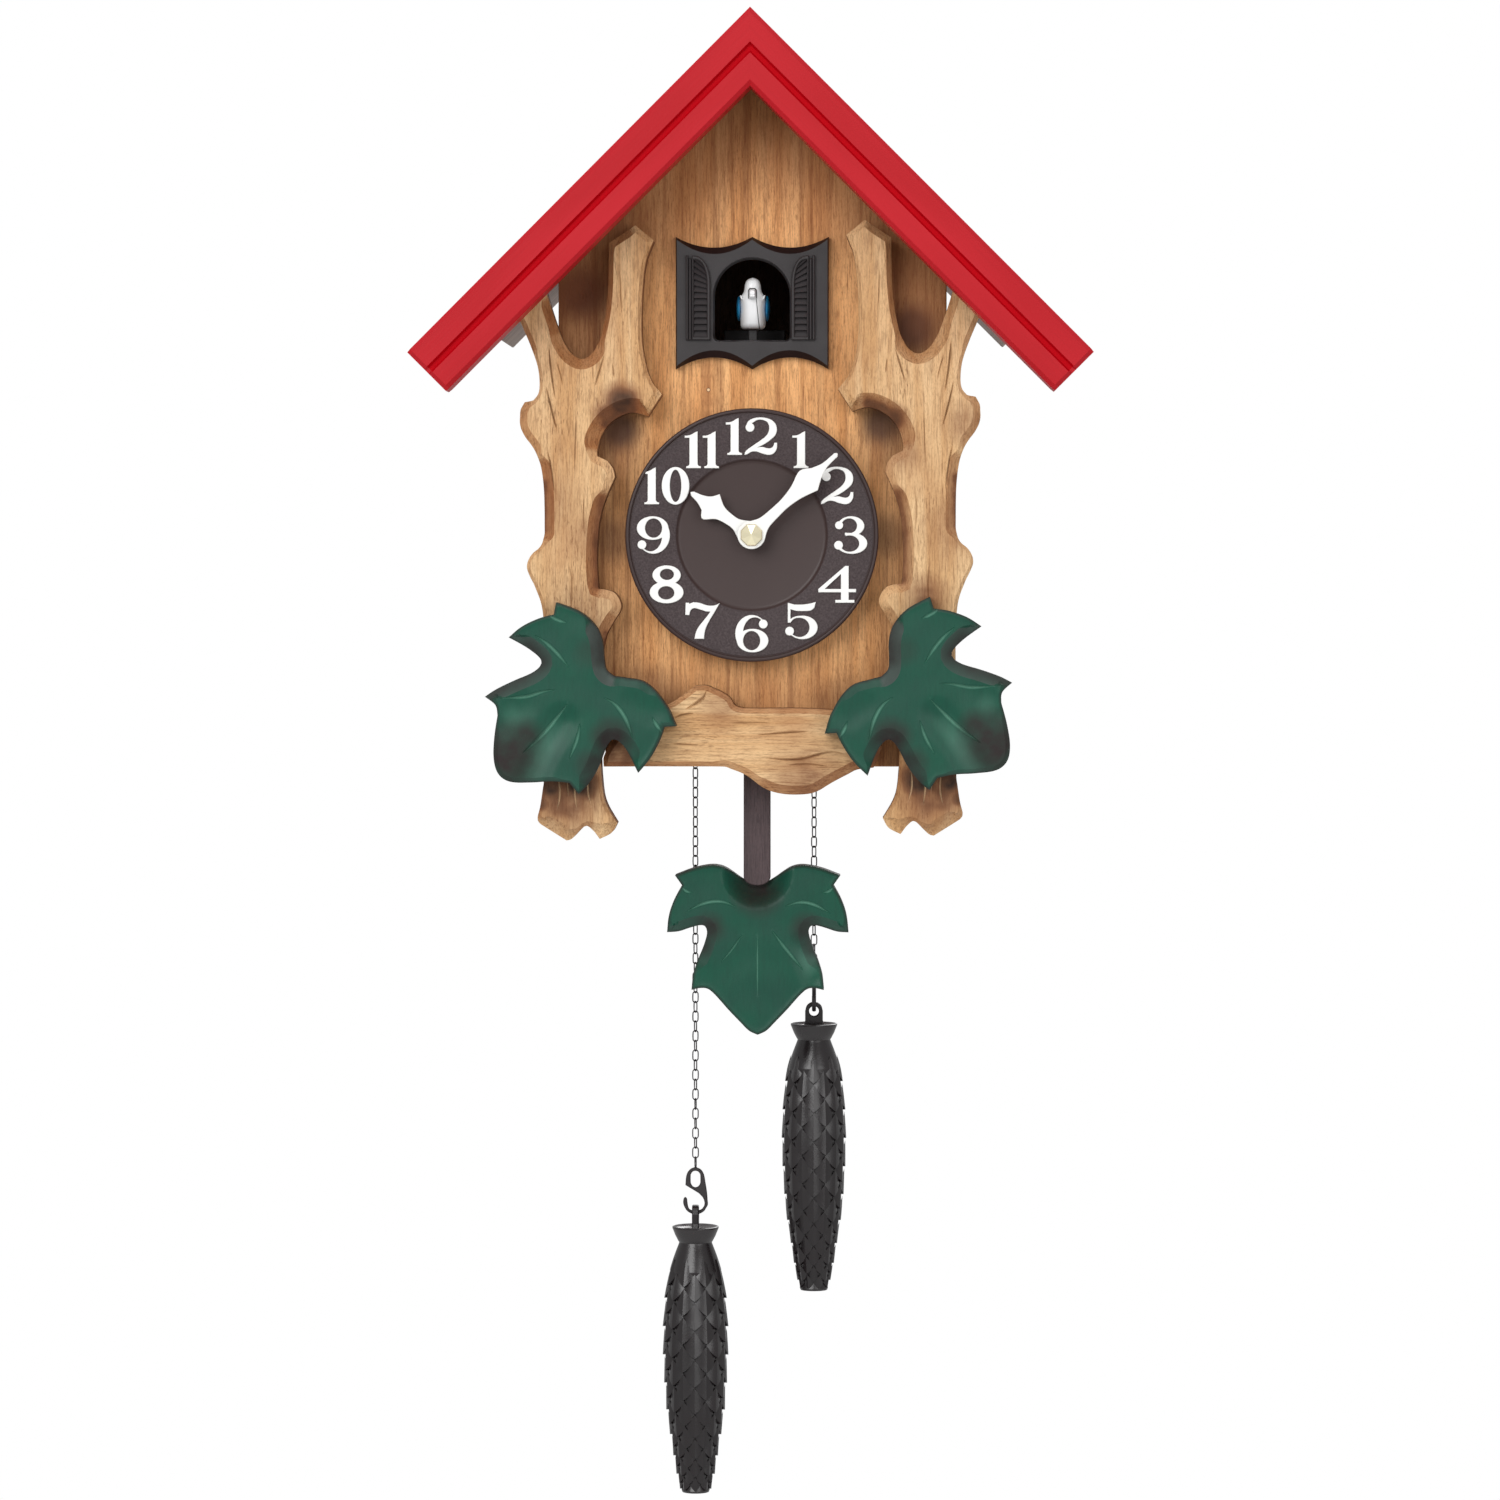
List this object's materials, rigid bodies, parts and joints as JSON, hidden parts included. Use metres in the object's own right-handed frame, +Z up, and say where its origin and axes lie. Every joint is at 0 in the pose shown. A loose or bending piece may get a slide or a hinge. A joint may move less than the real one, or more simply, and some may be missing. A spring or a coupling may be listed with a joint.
{
  "type": "pendulum wall clock",
  "caption": "Carved wooden cuckoo-style wall clock with red gable roof, leaves, bird window, round dial and hands, leaf pendulum and cone weights on chains.",
  "frame": {"origin": "where the axis of the hands meets the wall plane, on the flat back of the back cover", "axes": "+Z up, +Y into the wall, so the dial faces -Y; +X is to the right for someone facing the dial"},
  "size_m": [0.26, 0.145, 0.5788],
  "materials": {
    "red_painted_wood": "satin red paint over wood",
    "carved_wood": "carved, lightly burnt and oiled",
    "panel_wood": "stained satin veneer",
    "dark_board": "dark stained hardboard",
    "green_painted_wood": "green paint with burnt edges",
    "rod_wood": "dark brown stain",
    "black_plastic": "moulded, matt",
    "weight_plastic": "moulded scales, satin",
    "dial_plastic": "textured dark brown",
    "white_plastic": "white, satin",
    "blue_plastic": "blue, glossy",
    "gear_plastic": "natural acetal",
    "brass": "polished",
    "steel": "plated",
    "black_metal": "blackened wire",
    "copper_wire": "enamelled winding",
    "circuit_board": "solder mask",
    "bellows_paper": "folded paper",
    "battery_sleeve": "plain printed sleeve"
  },
  "bodies": {
    "case": {"fascia_left": "red_painted_wood", "fascia_right": "red_painted_wood", "roof_board_left": "red_painted_wood", "roof_board_right": "red_painted_wood", "front_panel": "panel_wood", "side_panel_left": "panel_wood", "side_panel_right": "panel_wood", "bottom_panel": "panel_wood", "back_cover": "dark_board", "hanger_plate": "steel", "trunk_left": "carved_wood", "trunk_right": "carved_wood", "branch_bottom": "carved_wood", "leaf_left": "green_painted_wood", "leaf_right": "green_painted_wood", "window_frame": "black_plastic", "dial": "dial_plastic", "movement_case": "black_plastic", "movement_cover": "black_plastic", "stepper_coil": "copper_wire", "circuit_board": "circuit_board", "battery_tray": "black_plastic", "battery_upper": "battery_sleeve", "battery_lower": "battery_sleeve", "pendulum_driver": "black_plastic", "chain_eye_left": "black_metal", "chain_eye_right": "black_metal", "bird_axle": "steel", "cuckoo_bracket": "steel", "cuckoo_motor": "black_plastic", "whistle_left": "carved_wood", "whistle_right": "carved_wood", "bellows_skin_left": "bellows_paper", "bellows_skin_right": "bellows_paper"},
    "minute": {"minute_shaft": "steel", "minute_hand": "white_plastic", "hand_nut": "brass", "set_knob": "black_plastic"},
    "hour": {"hour_wheel": "gear_plastic", "hour_hand": "white_plastic"},
    "motion": {"motion_wheel": "gear_plastic"},
    "pendulum": {"pendulum_hanger": "brass", "pendulum_rod": "rod_wood", "pendulum_magnet": "steel", "pendulum_leaf": "green_painted_wood"},
    "left_bellows": {"bellows_top_left": "carved_wood"},
    "right_bellows": {"bellows_top_right": "carved_wood"},
    "bird": {"bird_body": "white_plastic", "bird_stem": "black_plastic"},
    "left_wing": {"wing_left": "blue_plastic"},
    "right_wing": {"wing_right": "blue_plastic"},
    "beak": {"bird_beak": "white_plastic"},
    "cams": {"cam_shaft": "gear_plastic"},
    "left_chain": {"chain_left": "black_metal", "hook_left": "black_plastic"},
    "right_chain": {"chain_right": "black_metal", "hook_right": "black_plastic"},
    "left_weight": {"cone_left": "weight_plastic"},
    "right_weight": {"cone_right": "weight_plastic"},
    "door": {"battery_door": "dark_board"}
  },
  "joints": [
    {"name": "minute_turn", "type": "hinge", "parent": "case", "child": "minute", "pos_m": [0, 0, 0], "axis": [0, 1, 0], "continuous": true},
    {"name": "hour_turn", "type": "hinge", "parent": "case", "child": "hour", "pos_m": [0, 0, 0], "axis": [0, 1, 0], "continuous": true},
    {"name": "motion_turn", "type": "hinge", "parent": "case", "child": "motion", "pos_m": [0, -0.086, 0.012], "axis": [0, 1, 0], "continuous": true},
    {"name": "pendulum_swing", "type": "hinge", "parent": "case", "child": "pendulum", "pos_m": [0.0015, -0.0855, -0.034], "axis": [0, 1, 0], "range_deg": [-8, 8]},
    {"name": "left_bellows_lift", "type": "hinge", "parent": "case", "child": "left_bellows", "pos_m": [-0.039, -0.0415, 0.045], "axis": [-1, 0, 0], "range_deg": [0, 14]},
    {"name": "right_bellows_lift", "type": "hinge", "parent": "case", "child": "right_bellows", "pos_m": [0.039, -0.0415, 0.045], "axis": [-1, 0, 0], "range_deg": [0, 14]},
    {"name": "bird_bow", "type": "hinge", "parent": "case", "child": "bird", "pos_m": [0, -0.088, 0.069], "axis": [1, 0, 0], "range_deg": [0, 18]},
    {"name": "left_wing_flap", "type": "hinge", "parent": "bird", "child": "left_wing", "pos_m": [-0.0056, -0.086, 0.092], "axis": [0, 1, 0], "range_deg": [0, 20]},
    {"name": "right_wing_flap", "type": "hinge", "parent": "bird", "child": "right_wing", "pos_m": [0.0056, -0.086, 0.092], "axis": [0, -1, 0], "range_deg": [0, 20]},
    {"name": "beak_open", "type": "hinge", "parent": "bird", "child": "beak", "pos_m": [0, -0.0994, 0.0924], "axis": [1, 0, 0], "range_deg": [0, 15]},
    {"name": "cam_turn", "type": "hinge", "parent": "case", "child": "cams", "pos_m": [0, -0.05, 0.072], "axis": [1, 0, 0], "continuous": true},
    {"name": "left_chain_swing", "type": "hinge", "parent": "case", "child": "left_chain", "pos_m": [-0.0235, -0.055, -0.0872], "axis": [1, 0, 0], "range_deg": [-6, 6]},
    {"name": "right_chain_swing", "type": "hinge", "parent": "case", "child": "right_chain", "pos_m": [0.0235, -0.055, -0.0872], "axis": [1, 0, 0], "range_deg": [-6, 6]},
    {"name": "left_weight_swing", "type": "hinge", "parent": "left_chain", "child": "left_weight", "pos_m": [-0.0235, -0.055, -0.2683], "axis": [1, 0, 0], "range_deg": [-12, 12]},
    {"name": "right_weight_swing", "type": "hinge", "parent": "right_chain", "child": "right_weight", "pos_m": [0.0235, -0.055, -0.1875], "axis": [0, 1, 0], "range_deg": [-12, 12]},
    {"name": "battery_door_open", "type": "hinge", "parent": "case", "child": "door", "pos_m": [0, 0, -0.0585], "axis": [-1, 0, 0], "range_deg": [0, 95]}
  ],
  "couplings": [
    {"joint": "hour_turn", "follows": "minute_turn", "ratio": 0.083333},
    {"joint": "motion_turn", "follows": "minute_turn", "ratio": -0.33333},
    {"joint": "bird_bow", "follows": "left_bellows_lift", "ratio": 1.2857},
    {"joint": "left_wing_flap", "follows": "left_bellows_lift", "ratio": 1.4286},
    {"joint": "right_wing_flap", "follows": "left_bellows_lift", "ratio": 1.4286},
    {"joint": "beak_open", "follows": "left_bellows_lift", "ratio": 1.0714}
  ]
}
